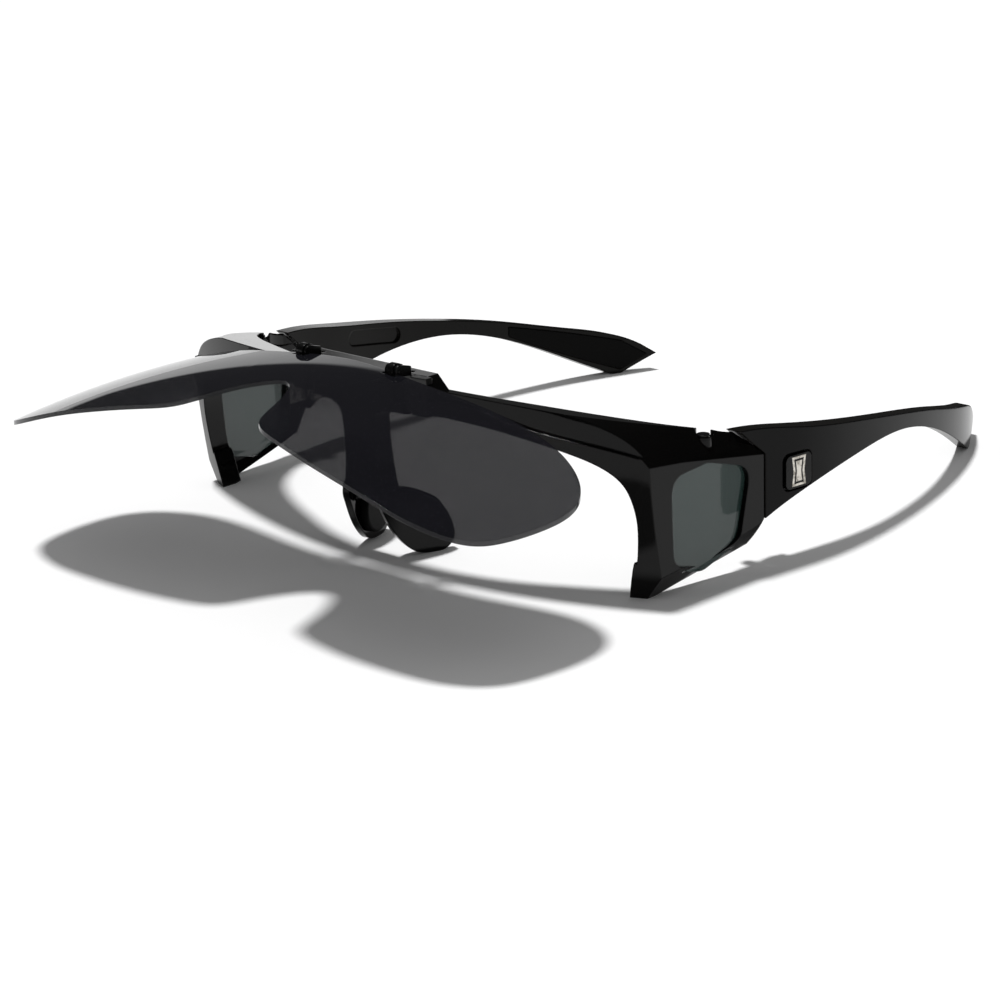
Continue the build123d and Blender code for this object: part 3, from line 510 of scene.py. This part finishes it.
def make_camera():
    """Camera whose back axis is set by azimuth and elevation, then rolled about it."""
    azimuth, elevation, roll = CAMERA_AZIMUTH, CAMERA_ELEVATION, CAMERA_ROLL
    level = Vector((math.cos(azimuth), math.sin(azimuth), 0))
    back = Vector((math.sin(azimuth) * math.cos(elevation), -math.cos(azimuth) * math.cos(elevation),
                   math.sin(elevation)))
    upright = back.cross(level)
    right = math.cos(roll) * level + math.sin(roll) * upright
    up = math.cos(roll) * upright - math.sin(roll) * level
    data = bpy.data.cameras.new("camera")
    data.sensor_width = SENSOR_WIDTH
    data.lens = CAMERA_LENS
    data.clip_start = CAMERA_NEAR
    camera = place_object("camera", data)
    camera.matrix_world = Matrix.Translation(CAMERA_PLACE) @ Matrix((right, up, back)).transposed().to_4x4()
    bpy.context.scene.camera = camera


def new_piece(name, corners, faces, body, slot, material, stands_for):
    """A mesh piece on one body, in place of the CAD nodes that it stands for."""
    mesh = bpy.data.meshes.new(name)
    mesh.from_pydata(corners.tolist(), [], faces)
    mesh.materials.append(material)
    mesh.polygons.foreach_set("use_smooth", [True] * len(mesh.polygons))
    mesh.set_sharp_from_angle(angle=SHARP_ANGLE)
    piece = place_object(name, mesh)
    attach(piece, body)
    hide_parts(*stands_for)


def shell(first, second):
    """Closed solid between two grids of points, whose rims are joined by a wall."""
    under = first.shape[0] * first.shape[1]
    grid = np.arange(under).reshape(first.shape[:2])
    over = np.stack((grid[:-1, :-1], grid[:-1, 1:], grid[1:, 1:], grid[1:, :-1]), -1).reshape(-1, 4)
    rim = np.concatenate((grid[:, 0], grid[-1, 1:], grid[-2::-1, -1], grid[0, -2:0:-1]))
    ahead = np.roll(rim, -1)
    wall = np.stack((rim, ahead, under + ahead, under + rim), -1)
    cells = np.stack((over, under + over[:, ::-1]), 1).reshape(-1, 4)
    return np.concatenate((first.reshape(-1, 3), second.reshape(-1, 3))), cells.tolist() + wall.tolist()


def prism(loop, near, far):
    """Closed solid between two copies of a loop of (y, z) points, at x = near and x = far."""
    count = len(loop)
    here = np.arange(count)
    ahead = np.roll(here, -1)
    sides = np.stack((here, ahead, count + ahead, count + here), -1)
    corners = np.concatenate([np.insert(loop, 0, x, axis=1) for x in (near, far)])
    return corners, sides.tolist() + [here[::-1].tolist(), (count + here).tolist()]


def arc(centre, radius, turns):
    """Points centre + radius (cos t, sin t), with t from one turn to the other."""
    turn = np.linspace(*turns, ROUND_STEPS)
    return np.array(centre) + radius * np.stack((np.cos(turn), np.sin(turn)), -1)


def stud(centre, along, beyond):
    """Round head: rings centre + r (along cos t + beyond sin t), a wide one on the seat and a small one above it."""
    centre, along, beyond = map(np.array, (centre, along, beyond))
    steps = np.arange(ROUND_STEPS)
    ahead = np.roll(steps, -1)
    turn = 2 * math.pi * steps[:, None] / ROUND_STEPS
    ring = HEAD_RADIUS * (along * np.cos(turn) + beyond * np.sin(turn))
    crown = centre - HEAD_HEIGHT * np.cross(along, beyond) + HEAD_CROWN_SHARE * ring
    sides = np.stack((steps, ROUND_STEPS + steps, ROUND_STEPS + ahead, ahead), -1)
    caps = [steps.tolist(), (ROUND_STEPS + steps[::-1]).tolist()]
    return np.concatenate((centre + ring, crown)), sides.tolist() + caps


def gather(parts):
    """Several closed meshes as one."""
    corners, faces = [], []
    for points, sides in parts:
        start = sum(map(len, corners))
        faces += [[start + corner for corner in face] for face in sides]
        corners.append(points)
    return np.concatenate(corners), faces


def closed_spline(points):
    """Closed cubic through points p_i, whose tangents m solve m_(i-1) + 4 m_i + m_(i+1) = 3 (p_(i+1) - p_(i-1))."""
    one = np.eye(len(points))
    weights = 4 * one + np.roll(one, 1, 0) + np.roll(one, -1, 0)
    ahead = np.roll(points, -1, 0)
    slopes = np.linalg.solve(weights, 3 * (ahead - np.roll(points, 1, 0)))
    slopes_ahead = np.roll(slopes, -1, 0)
    t = (np.arange(SPLINE_STEPS) / SPLINE_STEPS)[None, :, None]
    places = (2 * t**3 - 3 * t**2 + 1) * points[:, None] + (3 * t**2 - 2 * t**3) * ahead[:, None]
    bends = (t**3 - 2 * t**2 + t) * slopes[:, None] + (t**3 - t**2) * slopes_ahead[:, None]
    return (places + bends).reshape(-1, 2)


def lens_edges():
    """Stations x from the lens's middle to its tip, with the upper and lower edge's distance from the flip line."""
    half = [(0, LENS_NOTCH_TOP)] + LENS_OUTLINE + [(0, LENS_TOP_MIDDLE)]
    loop = half + [(-x, down) for x, down in reversed(LENS_OUTLINE)]
    curve = closed_spline(np.array(loop) * (LENS_HALF_WIDTH, LENS_HEIGHT))
    across, down = curve[:(len(half) - 1) * SPLINE_STEPS + 1].T
    tip = int(np.argmax(across))
    x = across[tip] * np.sin(np.linspace(0, math.pi / 2, LENS_COLUMNS))
    x[-1] = across[tip] * LENS_TIP_SHARE
    walls = [HINGE_X + side * (HINGE_NOTCH_HALF + step) for side in (-1, 1) for step in (0, NOTCH_WALL)]
    x = np.sort(np.concatenate((x, walls)))
    low = np.interp(x, across[:tip + 1], down[:tip + 1])
    high = np.interp(x, across[:tip - 1:-1], down[:tip - 1:-1])
    notch = np.abs(x - HINGE_X) <= HINGE_NOTCH_HALF + NOTCH_MARGIN
    return x, np.where(notch, np.maximum(high, HINGE_NOTCH_DEPTH), high), low


def lens_sheet(x, down, face):
    """Points y = R - sqrt((R - face - i)^2 - x^2), i = S - sqrt(S^2 - down^2), z = -down, turned up about x."""
    inset = LENS_DOWN_RADIUS - np.sqrt(LENS_DOWN_RADIUS**2 - down**2)
    y = LENS_ACROSS_RADIUS - np.sqrt((LENS_ACROSS_RADIUS - face - inset)**2 - x**2)
    cos, sin = math.cos(LENS_TURN), math.sin(LENS_TURN)
    return np.stack((x, y * cos - down * sin + LENS_LINE[0], -y * sin - down * cos + LENS_LINE[1]), -1)


def make_lens(material):
    """The lens as the shell between two turned-up sheets, cut by its outline."""
    x, high, low = lens_edges()
    x = np.concatenate((-x[:0:-1], x))
    high, low = [np.concatenate((edge[:0:-1], edge)) for edge in (high, low)]
    down = high[:, None] + (low - high)[:, None] * np.linspace(0, 1, LENS_ROWS)
    across = np.broadcast_to(x[:, None], down.shape)
    corners, faces = shell(*[lens_sheet(across, down, face) for face in (LENS_TOP_FACE, LENS_BACK_FACE)])
    new_piece("lens_sheet", corners, faces, "shield", "shield_tint", material, ["shield_lens"])


def clip_loop():
    """Side view of a clip: an eye round the pin and a tongue forward under the lens."""
    y, z = HINGE_PLACE
    top = z - CLIP_TAIL_TOP
    low = top - CLIP_TAIL_THICKNESS
    tip = y - CLIP_TAIL
    tongue = [(y - CLIP_RADIUS, top), (tip, top), (tip - CLIP_TAIL_THICKNESS / 2, (top + low) / 2), (tip, low)]
    return np.concatenate((arc(HINGE_PLACE, CLIP_RADIUS, CLIP_EYE), tongue))


def make_clips(material):
    """Both clips, and the rivet heads under their tongues."""
    for name, sign in SIDES:
        centre = sign * HINGE_X
        corners, faces = prism(clip_loop(), centre - CLIP_HALF_WIDTH, centre + CLIP_HALF_WIDTH)
        new_piece("clip_" + name, corners, faces, "shield", "steel", material, ["shield_clip_" + name])
    y, z = HINGE_PLACE[0] - RIVET_SETBACK, HINGE_PLACE[1] - CLIP_TAIL_TOP - CLIP_TAIL_THICKNESS
    heads = [stud((sign * HINGE_X, y, z), (1, 0, 0), (0, 1, 0)) for sign in (-1, 1)]
    new_piece("clip_rivets", *gather(heads), "shield", "steel", material, ["shield_clip_rivets"])


def brow_face(x, z):
    """Y of the brow's front face, y = R - sqrt((R - FACE - i)^2 - x^2), i = S - sqrt(S^2 - (z0 - z)^2)."""
    inset = BROW_DOWN_RADIUS - np.sqrt(BROW_DOWN_RADIUS**2 - (HINGE_PLACE[1] - z)**2)
    reach = BROW_ACROSS_RADIUS - BROW_FACE - inset
    return HINGE_PLACE[0] + BROW_ACROSS_RADIUS - np.sqrt(reach**2 - x**2)


def ear_loop():
    """Side view of a bracket's ear: round the pin in front, square on the brow behind."""
    y, z = HINGE_PLACE
    back = [(y + EAR_BACK, EAR_SEAT), (y + EAR_BACK, z + EAR_BACK_RISE)]
    return np.concatenate((arc(HINGE_PLACE, EAR_RADIUS, EAR_ROUND), back))


def bracket_ear(centre, side):
    """The ear on one side of a clip, a running gap away from it."""
    near = CLIP_HALF_WIDTH + EAR_GAP
    ends = (centre + side * near, centre + side * (near + EAR_THICKNESS))
    return prism(ear_loop(), min(ends), max(ends))


def bracket_plate(sign, near, far, setback):
    """A stretch of the plate between two distances from the middle, its front set back from the brow's face."""
    x = np.sort(sign * np.linspace(near, far, PLATE_STEPS))[:, None]
    across, up = np.broadcast_arrays(x, np.linspace(*PLATE_UP, PLATE_STEPS)[::-1])
    front = np.stack((across, brow_face(across, up) + setback, up), -1)
    return shell(front, front + np.array((0, PLATE_DEPTH - setback, 0)))


def make_brackets(material):
    """Both brackets, two ears over a plate let into the brow, and the screw head in each plate."""
    heads = []
    for name, sign in SIDES:
        parts = [bracket_ear(sign * HINGE_X, side) for side in (-1, 1)]
        parts.append(bracket_plate(sign, PLATE_ACROSS[0], POCKET_END, POCKET_DEPTH))
        parts.append(bracket_plate(sign, POCKET_END, PLATE_ACROSS[1], 0.0))
        new_piece("bracket_" + name, *gather(parts), "frame", "bracket", material, ["flip_bracket_" + name])
        x, z = sign * (POCKET_END + PLATE_ACROSS[1]) / 2, sum(PLATE_UP) / 2
        heads.append(stud((x, brow_face(x, z), z), (1, 0, 0), (0, 0, -1)))
    new_piece("bracket_screws", *gather(heads), "frame", "bracket", material, ["flip_bracket_screws"])


def dress(names_by_finish):
    """Gives each CAD node its finish."""
    for material, names in names_by_finish:
        for name in names:
            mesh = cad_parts[name].data
            mesh.materials.clear()
            mesh.materials.append(material)


def both(*names):
    """The left and the right node of each name."""
    return [name + "_" + side for name in names for side, _ in SIDES]


make_camera()
make_room()
make_key_lamp()
make_table()
make_flag()
burnished = finish("burnished", moulded_black(**BURNISHED_FITTING))
shield_tint = finish("shield_tint", tinted(**SHIELD_TINT))
dress([
    (finish("frame_black", moulded_black(**FRAME_MOULDING)), ["frame_front"]),
    (finish("temple_black", temple_black), both("temple")),
    (shield_tint, ["shield_lens"]),
    (finish("side_tint", tinted(**SIDE_TINT)), both("side_lens")),
    (finish("soft_rubber", soft_rubber), both("nose_pad", "temple_grip")),
    (finish("steel", drawn_steel),
     both("front_leaf", "temple_leaf", "temple_leaf_rivets", "hinge_screw") + ["front_leaf_rivets"]),
    (burnished, both("flip_bracket", "flip_pin", "corner_screw", "shield_clip")
     + ["flip_bracket_screws", "shield_clip_rivets"]),
    (finish("badge", badge_metal), both("temple_badge")),
])
make_lens(shield_tint)
make_clips(burnished)
make_brackets(burnished)
bpy.context.scene.view_settings.view_transform = "Standard"
